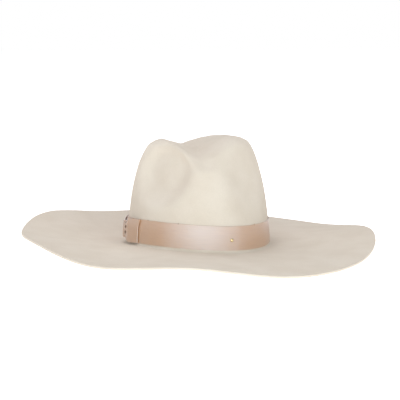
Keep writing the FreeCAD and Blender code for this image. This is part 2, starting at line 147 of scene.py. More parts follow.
def distances(line):
    # how far along a polyline each of its points is
    return np.concatenate([[0], np.cumsum(np.linalg.norm(np.diff(line, axis=0), axis=1))])


def evenly(line, spacing):
    # the same polyline with points a spacing apart
    length = distances(line)
    places = np.linspace(0, length[-1], max(2, int(round(length[-1] / spacing)) + 1))
    return np.stack([np.interp(places, length, part) for part in line.T], -1)


crownLine = throughPoints(felt["openCrown"], 24)


def vectors(x, y, z):
    return np.stack(np.broadcast_arrays(x, y, z), -1).astype(float)


def ovalAt(angle, share=1.0):
    x = share * felt["halfWidth"] * np.cos(angle) * (1 + felt["backFlare"] * np.sin(angle))
    return x, share * felt["halfLength"] * np.sin(angle)


def topLift(x, y):
    # how far the open crown's top is raised (or, in the crease, sunk) at a place
    along = (y - crease["frontY"]) / (crease["backY"] - crease["frontY"])
    middle = crease["frontX"] + (crease["backX"] - crease["frontX"]) * along
    wide = 1 + crease["leftwardExtra"] * smoothStep((x - middle) / crease["leftwardReach"])
    away = np.hypot(x - middle, crease["floor"])
    off = np.minimum(1, away / easeThrough(along, crease["halfWidths"]) / wide)
    sharp = crease["sharpShare"]
    groove = sharp * (1 - off) ** crease["sharpness"] + (1 - sharp) * (1 - smoothStep(off))
    fallen = smoothStep((y - crease["backDropStarts"]) / crease["backDropLength"])
    return (crease["sideTilt"] * x - crease["backDrop"] * fallen
            - easeThrough(along, crease["depths"]) * groove)


def crownPoint(angle, share, height):
    x, y = ovalAt(angle, share)
    top = smoothStep((height - crease["topStarts"]) / crease["topBlend"])
    pushX = pushY = 0
    for pinchX, pinchY, pinchZ, halfLength, halfHeight, depth, crispness, direction in pinches:
        intoX = -math.copysign(math.sin(math.radians(direction)), pinchX)
        intoY = math.cos(math.radians(direction))
        across = (x - pinchX) * intoY - (y - pinchY) * intoX
        into = (x - pinchX) * intoX + (y - pinchY) * intoY
        reach = np.hypot(across / halfLength, (height - pinchZ) / halfHeight)
        beyond = np.maximum(into - pinchFade[0], 0) / pinchFade[1]
        pushed = depth * np.exp(-reach ** crispness - beyond ** 2)
        pushX = pushX + pushed * intoX
        pushY = pushY + pushed * intoY
    bendTop, bendFade = felt["bendFades"]
    bend = waveAt(angle, felt["bendWave"]) * smoothStep((bendTop - height) / bendFade)
    return vectors(x + pushX, y + pushY, height + top * topLift(x, y) + bend)


def brimPoint(angle, out):
    startX, startY = ovalAt(angle)
    share = out / (felt["brimHalfWidth"] - felt["halfWidth"])
    x = startX + (felt["brimHalfWidth"] * np.cos(angle) - startX) * share
    y = startY + (felt["brimHalfLength"] * np.sin(angle) - startY) * share
    edge = waveAt(angle, felt["edgeWave"]) * share ** felt["brimCurl"]
    return vectors(x, y, edge + waveAt(angle, felt["bendWave"]) * (1 - smoothStep(share)))


def wallShare(height):
    return np.interp(height, crownLine[::-1, 1], crownLine[::-1, 0])


def outward(angle):
    # level direction straight out of the head oval
    x, y = ovalAt(angle)
    found = vectors(x / felt["halfWidth"] ** 2, y / felt["halfLength"] ** 2, 0)
    return found / np.linalg.norm(found, axis=-1, keepdims=True)


def innerPoint(angle, height, inwards):
    return crownPoint(angle, wallShare(height), height) - outward(angle) * np.asarray(inwards)[..., None]


def wallPoint(angle, height):
    # the outside of the wall, which flares at its foot into the bend
    radius = felt["bendRadius"]
    low = np.clip(radius - height, 0, radius)
    return innerPoint(angle, height, np.sqrt(radius ** 2 - low ** 2) - radius)


def evenedOut(grid):
    up = np.concatenate([grid[:1], grid[:-1]])
    down = np.concatenate([grid[1:], grid[-1:]])
    return (2 * grid + up + down + np.roll(grid, 1, 1) + np.roll(grid, -1, 1)) / 6


def gridNormals(points, rounds):
    # outward normals of a grid whose rows run round the hat, first evened out over some neighbours
    downWay = np.gradient(points, axis=0)
    roundWay = np.roll(points, -1, 1) - np.roll(points, 1, 1)
    found = np.cross(downWay, roundWay)
    for _ in range(rounds):
        found = evenedOut(found)
    return found / np.maximum(np.linalg.norm(found, axis=-1, keepdims=True), 1e-9)


def uneven(points, lengths, count=9):
    # a soft random relief between two wavelengths, from about -1 to 1
    found = np.zeros(points.shape[:-1])
    for _ in range(count):
        way = dice.normal(size=3)
        way /= np.linalg.norm(way)
        pace = fullTurn / dice.uniform(*lengths)
        found += np.sin(points @ way * pace + dice.uniform(0, fullTurn))
    return found / math.sqrt(count)


def strip(outer, inner):
    # both faces of a strip of cloth as one closed loop of rows
    return np.concatenate([outer, inner[::-1]])


def stripRows(across):
    return np.concatenate([across, across[::-1], across[:1]])


def ringMap(points):
    # millimetres along a ring-shaped piece, with the closing length at the end
    line = points.mean(0)
    return distances(np.concatenate([line, line[:1]]))


def makePiece(name, points, material, slot, replaced=(), wrapRows=False, wrapCols=True,
              fans=False, ladders=False, mapRows=None, mapCols=None, sharp=55):
    # a mesh over a grid of points; fans close its two end rows, ladders the ends of an open strip
    rows, cols = points.shape[:2]
    down, along = np.meshgrid(np.arange(rows if wrapRows else rows - 1),
                              np.arange(cols if wrapCols else cols - 1), indexing="ij")
    down, along = down.ravel(), along.ravel()
    cornerRow = np.stack([down, down, down + 1, down + 1], -1)
    cornerCol = np.stack([along, along + 1, along + 1, along], -1)
    faces = ((cornerRow % rows) * cols + cornerCol % cols).tolist()
    vertices = points.reshape(-1, 3)
    mapRows = np.arange(rows + 1) if mapRows is None else mapRows
    mapCols = np.arange(cols + 1) if mapCols is None else mapCols
    maps = np.stack([np.asarray(mapCols)[cornerCol], np.asarray(mapRows)[cornerRow]], -1).reshape(-1, 2)
    extra = []
    if fans:
        for row in (0, rows - 1):
            middle = len(vertices)
            vertices = np.concatenate([vertices, points[row].mean(0)[None]])
            ring = [row * cols + c for c in range(cols)]
            fan = [(middle, a, b) for a, b in zip(ring, ring[1:] + ring[:1])]
            extra += fan if row == 0 else [face[::-1] for face in fan]
    if ladders:
        for j in range(rows // 2 - 1):
            rung = [k * cols for k in (j, j + 1, rows - 2 - j, rows - 1 - j)]
            extra += [tuple(rung), tuple(k + cols - 1 for k in rung[::-1])]
    faces += extra
    maps = np.concatenate([maps, np.zeros((sum(len(face) for face in extra), 2))])
    return finishPiece(name, vertices, faces, maps, material, replaced, sharp)


def makeStrip(name, outer, inner, across, along, material, slot, replaced, **ends):
    # a strip of cloth with its two faces, closed in a ring unless its ends are given
    return makePiece(name, strip(outer, inner), material, slot, replaced, wrapRows=True,
                     mapRows=stripRows(across), mapCols=along, **ends)


def finishPiece(name, vertices, faces, maps, material, replaced=(), sharp=55):
    mesh = bpy.data.meshes.new(name)
    mesh.from_pydata((np.asarray(vertices) / 1000).tolist(), [], faces)
    layer = mesh.uv_layers.new(name="weave")           # metres along and across the cloth
    layer.uv.foreach_set("vector", (np.asarray(maps) / 1000).astype(np.float32).ravel())
    mesh.polygons.foreach_set("use_smooth", [True] * len(mesh.polygons))
    mesh.update()
    mesh.calc_loop_triangles()
    triangles = np.empty(len(mesh.loop_triangles) * 3, np.int32)
    mesh.loop_triangles.foreach_get("vertices", triangles)
    triangles = triangles.reshape(-1, 3)
    a, b, c = (np.asarray(vertices)[triangles[:, i]] for i in range(3))
    if (a * np.cross(b, c)).sum() < 0:                 # a negative volume means it is inside out
        mesh.flip_normals()
    mesh.set_sharp_from_angle(angle=math.radians(sharp))
    piece = bpy.data.objects.new(name, mesh)
    bpy.context.scene.collection.objects.link(piece)
    mesh.materials.append(material)
    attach(piece, "root")
    if replaced:
        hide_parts(*replaced)
    return piece


def linear(hexColour):
    parts = [int(hexColour[i:i + 2], 16) / 255 for i in (1, 3, 5)]
    return [p / 12.92 if p <= 0.04045 else ((p + 0.055) / 1.055) ** 2.4 for p in parts] + [1]


def addNode(owner, kind, inputs=(), stops=(), **settings):
    node = owner.node_tree.nodes.new("ShaderNode" + kind)
    for name, value in settings.items():
        setattr(node, name, value)
    for number, (position, hexColour) in enumerate(stops):
        node.color_ramp.elements[number].position = position
        node.color_ramp.elements[number].color = linear(hexColour)
    for key, value in dict(inputs).items():
        if isinstance(value, bpy.types.NodeSocket):
            owner.node_tree.links.new(value, node.inputs[key])
        else:
            node.inputs[key].default_value = value
    return node


def bareMaterial(name):
    material = bpy.data.materials.new(name)
    material.use_nodes = True
    return material


def setShader(material, settings, colour=None, normal=None, roughness=None, tangent=None):
    shader = material.node_tree.nodes["Principled BSDF"]
    for key, value in settings.items():
        shader.inputs[key].default_value = value
    linked = {"Base Color": colour, "Normal": normal, "Roughness": roughness, "Tangent": tangent}
    for key, socket in linked.items():
        if socket is not None:
            material.node_tree.links.new(socket, shader.inputs[key])
    return material


def grained(material, place, scale, detail, dyes, relief):
    # fine grain that tints and roughens alike: the grain, its colour and its relief
    grain = addNode(material, "TexNoise", {"Vector": place, "Scale": scale, "Detail": detail})
    dye = addNode(material, "ValToRGB", {"Fac": grain.outputs["Fac"]}, stops=zip((0.3, 0.7), dyes))
    strength, distance = relief
    bumps = addNode(material, "Bump", {"Strength": strength, "Distance": distance,
                                       "Height": grain.outputs["Fac"]})
    return grain.outputs["Fac"], dye.outputs["Color"], bumps.outputs["Normal"]


perPitch = 1000 * fullTurn / 20        # a wave texture's scale for bands a millimetre apart


# blocked wool felt, ironed and pounced: matte, a faint cloudiness of the cream dye, a short nap
# that catches light at grazing angles, and no weave
woolLook = {
    "cream": "#E0D4C6",
    "deepCream": "#DACDBE",
    "napTint": "#FFF6E8",
    "cloud": 38.0,               # mm across a cloud of colour
    "clump": 1.6,                # mm across a clump of fibres
    "fibre": 0.35,               # mm, drawn coarser than wool's 0.02
    "roughness": (0.96, 0.86),   # where the dye is deep and where it is pale
    "sheen": 0.25,
}


def blockedWoolFelt():
    look = woolLook
    felted = bareMaterial("blockedWoolFelt")
    place = addNode(felted, "TexCoord").outputs["Object"]
    clouds = addNode(felted, "TexNoise", {"Vector": place, "Scale": 1000 / look["cloud"], "Detail": 4.0})
    dye = addNode(felted, "ValToRGB", {"Fac": clouds.outputs["Fac"]},
                  stops=[(0.35, look["deepCream"]), (0.65, look["cream"])])
    clumps = addNode(felted, "TexNoise", {"Vector": place, "Scale": 1000 / look["clump"], "Detail": 3.0,
                                          "Roughness": 0.6, "Distortion": 0.8})
    speck = addNode(felted, "MapRange", {"Value": clumps.outputs["Fac"], "From Min": 0.3,
                                         "From Max": 0.7, "To Min": 0.975, "To Max": 1.02})
    tinted = addNode(felted, "Mix", {0: 1.0, 6: dye.outputs["Color"], 7: speck.outputs["Result"]},
                     data_type="RGBA", blend_type="MULTIPLY")      # 0 is the factor, 6 and 7 the colours
    fibres = addNode(felted, "TexNoise", {"Vector": place, "Scale": 1000 / look["fibre"], "Detail": 4.0,
                                          "Roughness": 0.7, "Distortion": 2.5})
    nap = addNode(felted, "Bump", {"Strength": 0.25, "Distance": 0.0003, "Height": clumps.outputs["Fac"]})
    nap = addNode(felted, "Bump", {"Strength": 0.3, "Distance": 0.0001, "Height": fibres.outputs["Fac"],
                                   "Normal": nap.outputs["Normal"]})
    deepRough, paleRough = look["roughness"]
    worn = addNode(felted, "MapRange", {"Value": clouds.outputs["Fac"], "From Min": 0.3,
                                        "From Max": 0.7, "To Min": deepRough, "To Max": paleRough})
    return setShader(felted, {
        "IOR": 1.5, "Specular IOR Level": 0.2, "Sheen Weight": look["sheen"], "Sheen Roughness": 0.5,
        "Sheen Tint": linear(look["napTint"])},
        tinted.outputs[2], nap.outputs["Normal"], worn.outputs["Result"])


# rayon and cotton grosgrain, woven with a thick weft: fine crosswise ribs under silky warp threads,
# so that it is tan where it turns away and nearly white where it faces the light
grosgrainLook = {
    "tan": "#E2A66A",
    "deepTan": "#DA9B5E",
    "rib": 1.1,                  # mm, drawn coarser than the real 0.6
    "thread": 0.35,              # mm, drawn coarser than 0.1
    "roughness": 0.38,
    "index": 2.5,                # rayon's own is 1.5, raised until the gloss goes as pale as the real one
    "glossTint": "#CBEAFF",      # cool, to cancel the warm dye under the gloss
    "coatRoughness": 0.26,
    "shine": 1.0,
}
narrowLook = {**grosgrainLook, "tan": "#BE9872", "deepTan": "#A87F58", "rib": 0.8, "thread": 0.3,
              "shine": 0.5}


def wovenGrosgrain(name, look):
    woven = bareMaterial(name)
    place = addNode(woven, "UVMap", uv_map="weave").outputs["UV"]
    ribs = addNode(woven, "TexWave", {"Vector": place, "Scale": perPitch / look["rib"], "Distortion": 0.15,
                                      "Detail": 1.0, "Detail Scale": 2.0, "Phase Offset": math.pi},
                   bands_direction="X")
    threads = addNode(woven, "TexWave", {"Vector": place, "Scale": perPitch / look["thread"],
                                         "Distortion": 0.6, "Detail": 2.0}, bands_direction="Y")
    slubs = addNode(woven, "Mapping", {"Vector": place, "Scale": (60, 900, 1)})
    slub = addNode(woven, "TexNoise", {"Vector": slubs.outputs["Vector"], "Scale": 1.0, "Detail": 3.0})
    dye = addNode(woven, "ValToRGB", {"Fac": slub.outputs["Fac"]},
                  stops=[(0.3, look["deepTan"]), (0.7, look["tan"])])
    # painted shade: the colour darkens to 0.9 in the hollows between the ribs and rises to 1.03 on their
    # crests, following the rib bump
    paintedRibShade = addNode(woven, "MapRange", {"Value": ribs.outputs["Fac"], "From Min": 0.0,
                                        "From Max": 1.0, "To Min": 0.9, "To Max": 1.03})
    tinted = addNode(woven, "Mix", {0: 1.0, 6: dye.outputs["Color"], 7: paintedRibShade.outputs["Result"]},
                     data_type="RGBA", blend_type="MULTIPLY")
    relief = addNode(woven, "Bump", {"Strength": 0.35, "Distance": 0.00012, "Height": ribs.outputs["Fac"]})
    relief = addNode(woven, "Bump", {"Strength": 0.3, "Distance": 0.00005, "Height": threads.outputs["Fac"],
                                     "Normal": relief.outputs["Normal"]})
    tangent = addNode(woven, "Tangent", direction_type="UV_MAP", uv_map="weave")
    return setShader(woven, {
        "Roughness": look["roughness"], "IOR": look["index"],
        "Specular IOR Level": 0.5 + 0.5 * look["shine"], "Specular Tint": linear(look["glossTint"]),
        "Anisotropic": 0.85, "Anisotropic Rotation": 0.25, "Coat Weight": 0.6 * look["shine"],
        "Coat Roughness": look["coatRoughness"], "Coat IOR": 1.5,
        "Sheen Weight": 0.2, "Sheen Roughness": 0.4},
        tinted.outputs[2], relief.outputs["Normal"], tangent=tangent.outputs["Tangent"])


# satin-woven acetate for the lining: long floats give a soft milky gloss
satinLook = {
    "light": "#E3D5BF",
    "deep": "#D3C1A6",
    "thread": 0.5,               # mm, drawn coarser than 0.1
    "floatLength": 14,           # threads that a float runs over
    "roughness": 0.34,
}
pipingLook = {**satinLook, "light": "#C6A27C", "deep": "#B48E66"}


def wovenSatin(name, look):
    woven = bareMaterial(name)
    place = addNode(woven, "UVMap", uv_map="weave").outputs["UV"]
    perThread = 1000 / look["thread"]
    floats = addNode(woven, "Mapping", {"Vector": place,
                                        "Scale": (perThread / look["floatLength"], perThread, 1)})
    _, dye, relief = grained(woven, floats.outputs["Vector"], 1.0, 2.0, (look["deep"], look["light"]),
                             (0.2, 0.00005))
    tangent = addNode(woven, "Tangent", direction_type="UV_MAP", uv_map="weave")
    return setShader(woven, {
        "Roughness": look["roughness"], "IOR": 1.48, "Specular IOR Level": 0.8, "Anisotropic": 0.6,
        "Sheen Weight": 0.3, "Sheen Roughness": 0.35},
        dye, relief, tangent=tangent.outputs["Tangent"])


# vegetable-tanned sheepskin, glazed: smooth, small pores, a warm soft shine
leatherLook = {
    "tan": "#B98A5E",
    "deepTan": "#9E7148",
    "pore": 0.7,                 # mm, drawn coarser than 0.2
    "wrinkle": 5.0,
    "roughness": (0.42, 0.56),
}


def glazedSheepskin():
    look = leatherLook
    hide = bareMaterial("glazedSheepskin")
    place = addNode(hide, "TexCoord").outputs["Object"]
    pores = addNode(hide, "TexVoronoi", {"Vector": place, "Scale": 1000 / look["pore"], "Randomness": 1.0})
    wrinkles = addNode(hide, "TexNoise", {"Vector": place, "Scale": 1000 / look["wrinkle"], "Detail": 5.0,
                                          "Distortion": 1.2})
    dye = addNode(hide, "ValToRGB", {"Fac": wrinkles.outputs["Fac"]},
                  stops=[(0.3, look["deepTan"]), (0.65, look["tan"])])
    relief = addNode(hide, "Bump", {"Strength": 0.25, "Distance": 0.0001,
                                    "Height": pores.outputs["Distance"]})
    relief = addNode(hide, "Bump", {"Strength": 0.3, "Distance": 0.0003, "Height": wrinkles.outputs["Fac"],
                                    "Normal": relief.outputs["Normal"]})
    glazed, rubbed = look["roughness"]
    gloss = addNode(hide, "MapRange", {"Value": wrinkles.outputs["Fac"], "From Min": 0.3,
                                       "From Max": 0.7, "To Min": glazed, "To Max": rubbed})
    return setShader(hide, {"IOR": 1.5, "Coat Weight": 0.25, "Coat Roughness": 0.3},
                     dye.outputs["Color"], relief.outputs["Normal"], gloss.outputs["Result"])


# spun thread, two plies: matte with a slight lustre along the twist
def spunThread(name, light, deep):
    spun = bareMaterial(name)
    place = addNode(spun, "UVMap", uv_map="weave").outputs["UV"]
    fibres = addNode(spun, "Mapping", {"Vector": place, "Scale": (900, 9000, 1), "Rotation": (0, 0, 0.5)})
    _, dye, relief = grained(spun, fibres.outputs["Vector"], 1.0, 2.0, (deep, light), (0.4, 0.00003))
    return setShader(spun, {"Roughness": 0.6, "IOR": 1.53, "Sheen Weight": 0.4}, dye, relief)


# turned brass, polished and lacquered: pale gold with faint clouds from handling
brassLook = {"pale": "#F0D8A8", "deep": "#E3C48C", "cloud": 0.8, "roughness": (0.2, 0.34)}


def turnedBrass():
    look = brassLook
    metal = bareMaterial("turnedBrass")
    place = addNode(metal, "TexCoord").outputs["Object"]
    clouds, tone, relief = grained(metal, place, 1000 / look["cloud"], 3.0, (look["deep"], look["pale"]),
                                   (0.08, 0.00003))
    polished, dulled = look["roughness"]
    polish = addNode(metal, "MapRange", {"Value": clouds, "From Min": 0.3, "From Max": 0.7,
                                         "To Min": polished, "To Max": dulled})
    return setShader(metal, {"Metallic": 1.0, "Coat Weight": 0.4, "Coat Roughness": 0.15},
                     tone, relief, polish.outputs["Result"])


# extruded PVC cord: milky white, waxy, with faint marks a few millimetres long
pvcLook = {"pale": "#E8E4DA", "deep": "#DDD8CC", "mark": 3.0}


def extrudedPvc():
    look = pvcLook
    cord = bareMaterial("extrudedPvc")
    place = addNode(cord, "TexCoord").outputs["Object"]
    _, tone, relief = grained(cord, place, 1000 / look["mark"], 2.0, (look["deep"], look["pale"]),
                              (0.1, 0.00005))
    return setShader(cord, {"Roughness": 0.4, "IOR": 1.54}, tone, relief)


# plain-woven cotton: matte threads over and under, in tape and in the blank label
def plainCotton(name, light, deep, thread):
    woven = bareMaterial(name)
    place = addNode(woven, "UVMap", uv_map="weave").outputs["UV"]
    warp, weft = (addNode(woven, "TexWave", {"Vector": place, "Scale": perPitch / thread, "Distortion": 0.5},
                          bands_direction=way) for way in "XY")
    cross = addNode(woven, "Math", {0: warp.outputs["Fac"], 1: weft.outputs["Fac"]}, operation="MULTIPLY")
    dye = addNode(woven, "ValToRGB", {"Fac": cross.outputs["Value"]}, stops=[(0.0, deep), (0.5, light)])
    relief = addNode(woven, "Bump", {"Strength": 0.4, "Distance": 0.00008, "Height": cross.outputs["Value"]})
    return setShader(woven, {"Roughness": 0.85, "IOR": 1.5, "Specular IOR Level": 0.3, "Sheen Weight": 0.2},
                     dye.outputs["Color"], relief.outputs["Normal"])


woolFelt = blockedWoolFelt()
tanGrosgrain = wovenGrosgrain("rayonGrosgrain", grosgrainLook)
narrowGrosgrain = wovenGrosgrain("narrowGrosgrain", narrowLook)
liningSatin = wovenSatin("acetateSatin", satinLook)
pipingSatin = wovenSatin("biasSatin", pipingLook)
sheepskin = glazedSheepskin()
tanThread = spunThread("tanCottonThread", "#B8946E", "#9E7A54")
creamThread = spunThread("creamCottonThread", "#EDE4D0", "#D8CCB4")
brass = turnedBrass()
pvc = extrudedPvc()
tapeCotton = plainCotton("cottonTape", "#D8C8AE", "#B8A588", 0.7)              # mm between threads,
labelCotton = plainCotton("blankWovenLabel", "#EFE8DA", "#D6CBB6", 0.45)       # both coarser than real
print("finishes mixed")


turns = np.linspace(0, fullTurn, felt["columns"], endpoint=False)
hatAngles = turns - felt["columnCrowding"] * np.cos(turns)


def feltSkin():
    profile = evenly(np.array(crownLine[1:]), felt["rowSpacing"])
    rows = [crownPoint(hatAngles, max(share, felt["topHole"]), height) for share, height in profile]
    for height in felt["wallRows"]:
        rows.append(wallPoint(hatAngles, height))
    for tilt in np.radians(felt["bendRows"]):
        rows.append(wallPoint(hatAngles, felt["bendRadius"] * (1 - math.sin(tilt))))
    reach = felt["brimHalfWidth"] - felt["halfWidth"] - felt["edgeRounding"]
    first = felt["bendRadius"] + felt["brimStarts"]
    for out in np.linspace(first, reach, int((reach - first) / felt["brimRowSpacing"])):
        rows.append(brimPoint(hatAngles, out))
    return np.array(rows), profile


outerSkin, crownProfile = feltSkin()
outerNormals = gridNormals(outerSkin, 2)
blocking = uneven(outerSkin, felt["unevenLengths"]) * felt["unevenness"]
outerSkin = outerSkin + outerNormals * blocking[..., None]
deepNormals = gridNormals(outerSkin, 14)              # evened out, so that the inner face has no folds
innerSkin = outerSkin - deepNormals * felt["thickness"]


def rawEdge():
    # the cut edge, rounded a little by the knife and by handling
    radius = felt["edgeRounding"]
    outWay = outerSkin[-1] - outerSkin[-2]
    outWay /= np.linalg.norm(outWay, axis=-1, keepdims=True)
    up = deepNormals[-1]
    high = outerSkin[-1] - up * radius
    low = outerSkin[-1] - up * (felt["thickness"] - radius)
    nick = felt["edgeNick"] * uneven(outerSkin[-1], felt["edgeNickLengths"])[:, None]
    tilts = np.radians([22, 45, 67, 90])
    rows = []
    for corner, side, order in ((high, up, tilts), (low, -up, tilts[::-1])):
        for tilt in order:
            way = outWay * math.sin(tilt) + side * math.cos(tilt)
            rows.append(corner + way * (radius + nick * math.sin(tilt)))
    return np.array(rows)


feltBody = makePiece("felt_crown_and_brim", np.concatenate([outerSkin, rawEdge(), innerSkin[::-1]]),
                     woolFelt, "wool_felt", ["felt_body"], fans=True, sharp=80)
print("felt blocked:", len(feltBody.data.vertices), "points")


band = {
    "width": 28.0,
    "thickness": 0.5,
    "foot": 3.2,
    "gap": 0.25,
    "rib": 1.1,
    "ribDepth": 0.05,
    "selvedge": 0.09,
    "selvedgeWidth": 0.5,
    "scallop": 0.12,             # how far the ribs move the selvedge up and down
    "slack": 0.35,               # the top edge relaxes away from the felt
    "shares": [0, 0.015, 0.04, 0.15, 0.32, 0.5, 0.68, 0.85, 0.96, 0.985, 1],
}


def ribbonPoint(angle, height, out):
    return wallPoint(angle, height) + outward(angle) * (band["gap"] + np.asarray(out))[..., None]


def ribbed(along, share, out, side):
    # ribs and a firmer scalloped selvedge, added to the way out and given back with the height's shift
    wave = np.cos(fullTurn * along / band["rib"])
    edge = np.exp(-(1 - np.abs(2 * share - 1)) * band["width"] / 2 / band["selvedgeWidth"])
    return out + side * (band["ribDepth"] * wave + band["selvedge"] * edge), edge * band["scallop"] * wave


def lapAngles(height, perRib):
    # angles round the hat with a whole number of ribs, evenly spaced along the wall
    fine = np.linspace(0, fullTurn, 4001)
    length = distances(wallPoint(fine, height))
    ribs = int(round(length[-1] / band["rib"]))
    along = np.arange(ribs * perRib + 1) / perRib
    return np.interp(along / ribs * length[-1], length, fine), along * band["rib"], length[-1]


bandAngles, bandAlong, bandLength = lapAngles(band["foot"] + band["width"] / 2, 4)


def bandFaces():
    share = np.array(band["shares"])[:, None]
    angle, along = bandAngles[None, :-1], bandAlong[None, :-1]
    faces = []
    for out, side in ((band["thickness"], 1), (0, 0)):
        lifted, shift = ribbed(along, share, out, side)
        slack = band["slack"] * smoothStep((share - 0.8) / 0.2) * (1 + np.sin(angle * 5 + 1)) / 2
        height = band["foot"] + band["width"] * share + shift
        faces.append(ribbonPoint(angle + 0 * share, height, lifted + slack))
    return faces, (band["foot"] + band["width"] * share).ravel()


(bandOuter, bandInner), bandAcross = bandFaces()
bandPiece = makeStrip("ribbon_band", bandOuter, bandInner, bandAcross, bandAlong, tanGrosgrain,
                      "grosgrain_ribbon", ["hatband_ribbon"])
print("ribbon band laid:", round(bandLength), "mm round")


bow = {
    "forward": 7.0,
    "halfLength": 42.0,
    "held": 7.0,                 # half of what the keeper covers
    "pinchSwell": 1.9,
    "foldSwell": 0.9,
    "pinchWidth": 16.0,
    "slant": 4.0,
    # front and rear loop: share of the length over which it opens, bulge, sinking towards the band
    "loops": [(0.4, 2.0, 1.4), (0.75, 0.6, 0.75)],
    "settled": 0.75,
    "pleats": (2.5, 0.55),       # how many pleats across the pinch, and how deep
    "plyGap": 0.1,
    "levels": 41,
    "steps": 240,
}
keeper = {
    "length": 14.0,
    "gatheredFrom": 16.0,
    "room": 0.35,
    "sideRoom": 1.2,
    "pleats": 3,
    "pleatDepth": 0.28,
    "innerPleat": 0.55,          # the inner face follows the pleats this far
    "squareness": 0.3,
    "levels": 29,
    "steps": 120,
}
tail = {
    "front": 12.0,
    "rear": 56.0,
    "slant": 11.0,
    "rise": 0.7,                 # the loose rear end stands off the band
    "riseLength": 22.0,
    "levels": 15,
    "steps": 321,
}
bowMiddle = band["foot"] + band["width"] / 2
tailOut = bow["plyGap"]
keeperOut = tailOut + band["thickness"] + bow["plyGap"]
loopsOut = keeperOut + band["thickness"] + keeper["room"]
loopsDepth = 2 * band["thickness"] + bow["pinchSwell"]


def sidePoint(forward, height, out):
    angle = math.pi + np.arcsin((bow["forward"] + forward) / felt["halfLength"])
    return ribbonPoint(angle, height, band["thickness"] + np.asarray(out))


def loopPath(reach, foldRadius, steps):
    # once round a flat loop: place along, side from -1 to 1, and the outward normal there
    straight = reach - foldRadius
    turn = np.linspace(-math.pi / 2, math.pi / 2, 13)
    fold = np.stack([straight + foldRadius * np.cos(turn), np.sin(turn), np.cos(turn), np.sin(turn)], -1)
    run = straight * (1 - 2 * np.arange(1, steps) / steps)
    run = np.stack([run, 1 + 0 * run, 0 * run, 1 + 0 * run], -1)
    half = np.concatenate([fold, run])
    return np.concatenate([half, -half])


def foldedLoops(place, height, sizes, out, thickness):
    # two loops of one ribbon on either side of a pinched middle
    halfLength, width, pinchWidth = sizes["halfLength"], sizes["width"], sizes["pinchWidth"]
    pleats, pleatDepth = sizes["pleats"]
    levels = np.linspace(-1, 1, sizes["levels"])
    faces = [[], []]
    for level in levels:
        path = loopPath(halfLength + sizes["slant"] * max(level, 0) ** 2,
                        (sizes["foldSwell"] + thickness) / 2, sizes["steps"])
        along, side, off, up = path.T
        opening, bulge, settling = (np.where(along > 0, front, rear) for front, rear in zip(*sizes["loops"]))
        past = (np.abs(along) - sizes["held"]) / halfLength
        openShare = smoothStep(past / opening)
        settled = smoothStep(past / bow["settled"])
        full = np.sin(math.pi * np.minimum(np.abs(along) / halfLength, 1)) * openShare
        hollow = sizes["pinchSwell"] + (sizes["foldSwell"] - sizes["pinchSwell"]) * settled + bulge * full
        tall = pinchWidth + (width - pinchWidth) * openShare
        pleat = pleatDepth * np.cos(math.pi * pleats * level + 0.6) * (1 - openShare)
        ply = (out - settling * settled + thickness / 2 + (hollow + thickness) * (1 + side) / 2
               + pleat * np.where(side > 0.9, 1, 0.4))
        for face, offset in zip(faces, (thickness / 2, -thickness / 2)):
            face.append(place(along + offset * off, height + level * tall / 2, ply + offset * up))
    outer, inner = np.array(faces)
    return outer, inner, levels * width / 2, ringMap(outer)


loopsOuter, loopsInner, loopsAcross, loopsAlong = foldedLoops(
    sidePoint, bowMiddle, {**bow, "width": band["width"]}, loopsOut, band["thickness"])
bowLoops = makeStrip("folded_bow_loops", loopsOuter, loopsInner, loopsAcross, loopsAlong, tanGrosgrain,
                     "grosgrain_ribbon", ["bow_loops"])


def keeperFaces():
    # a short ribbon round the pinched middle, gathered into soft pleats
    depth = loopsDepth + 2 * keeper["room"]
    width = bow["pinchWidth"] + 2 * keeper["sideRoom"]
    along = np.linspace(-0.5, 0.5, keeper["levels"])[:, None] * keeper["length"]
    turn = np.linspace(0, fullTurn, keeper["steps"], endpoint=False)[None]
    up = np.copysign(np.abs(np.sin(turn)) ** keeper["squareness"], np.sin(turn))
    off = np.copysign(np.abs(np.cos(turn)) ** keeper["squareness"], np.cos(turn))
    gathers = 1 + np.cos(fullTurn * keeper["pleats"] * along / keeper["length"])
    pleat = keeper["pleatDepth"] * gathers * (0.35 + 0.65 * smoothStep(off + 0.2))
    faces = []
    for offset, follows in ((band["thickness"], 1), (0, keeper["innerPleat"])):
        swollen = offset + pleat * follows
        out = (keeperOut + band["thickness"] + depth / 2 + off * (depth / 2 + offset)
               + np.maximum(off, 0) * (swollen - offset))
        faces.append(sidePoint(along + 0 * turn, bowMiddle + up * (width / 2 + swollen), out))
    return faces, along.ravel(), ringMap(faces[0])


(keeperOuter, keeperInner), keeperAcross, keeperAlong = keeperFaces()
bowKeeper = makeStrip("pleated_bow_keeper", keeperOuter, keeperInner, keeperAcross, keeperAlong,
                      tanGrosgrain, "grosgrain_ribbon", ["bow_keeper"])


def tailFaces():
    share = np.linspace(0, 1, tail["levels"])[:, None]
    across = np.linspace(0, 1, tail["steps"])[None]
    start = -tail["rear"] + tail["slant"] * share
    forward = start + (tail["front"] - start) * across
    lift = (tail["rise"] * smoothStep(1 - (forward - start) / tail["riseLength"]) ** 2
            + band["ribDepth"] * np.cos(fullTurn * forward / band["rib"]))
    height = band["foot"] + band["width"] * share
    faces = [sidePoint(forward, height + 0 * across, tailOut + out + lift) for out in (band["thickness"], 0)]
    return faces, share.ravel() * band["width"]


(tailOuter, tailInner), tailAcross = tailFaces()
tailLength = tail["rear"] + tail["front"]
tailAlong = np.linspace(0, tailLength, tail["steps"] + 1)
bowTail = makeStrip("slanted_bow_tail", tailOuter, tailInner, tailAcross, tailAlong, tanGrosgrain,
                    "grosgrain_ribbon", ["bow_tail"], wrapCols=False, ladders=True)
print("bow folded")


# plies: how far each winds off the middle, its radius, and the length of a twist, all in thread radii
thread = {"steps": 17, "sides": 7, "plyOffset": 0.45, "plyRadius": 0.58, "twist": 9}


